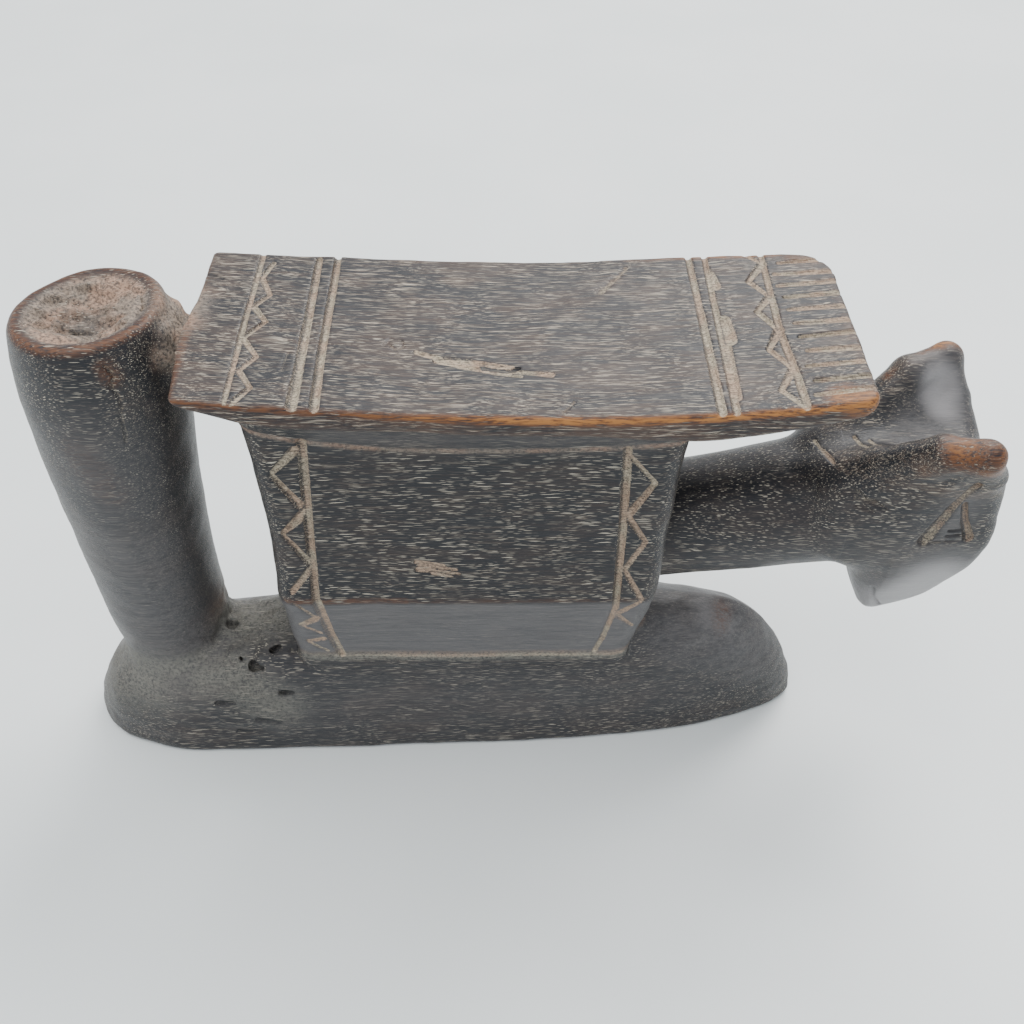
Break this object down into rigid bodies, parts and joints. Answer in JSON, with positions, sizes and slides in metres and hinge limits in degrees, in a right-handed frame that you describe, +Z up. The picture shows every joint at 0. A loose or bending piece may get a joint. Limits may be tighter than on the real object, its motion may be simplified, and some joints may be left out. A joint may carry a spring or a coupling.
{
  "type": "headrest",
  "caption": "Carved hardwood headrest with a saddle-shaped neck rest on a block, a dished post behind and an animal head in front, on a long base.",
  "frame": {"origin": "middle of the whole object's length and depth, on the floor that the base stands on", "axes": "+X from the dished post towards the animal's head, +Y away from the viewer across the rest, +Z up"},
  "size_m": [0.24, 0.059, 0.1394],
  "materials": {
    "dark_wood": "hand-polished dark hardwood, semi-gloss, with pale open pores",
    "worn_wood": "the same hardwood, worn to a honey brown along its edges"
  },
  "bodies": {
    "root": {"base": "dark_wood", "support_block": "dark_wood", "rest_moulding": "dark_wood", "neck_rest": "worn_wood", "rear_post": "dark_wood", "post_bridge": "dark_wood", "animal_neck": "dark_wood", "animal_head": "dark_wood", "muzzle": "dark_wood", "left_ear": "worn_wood", "right_ear": "worn_wood"}
  },
  "joints": []
}
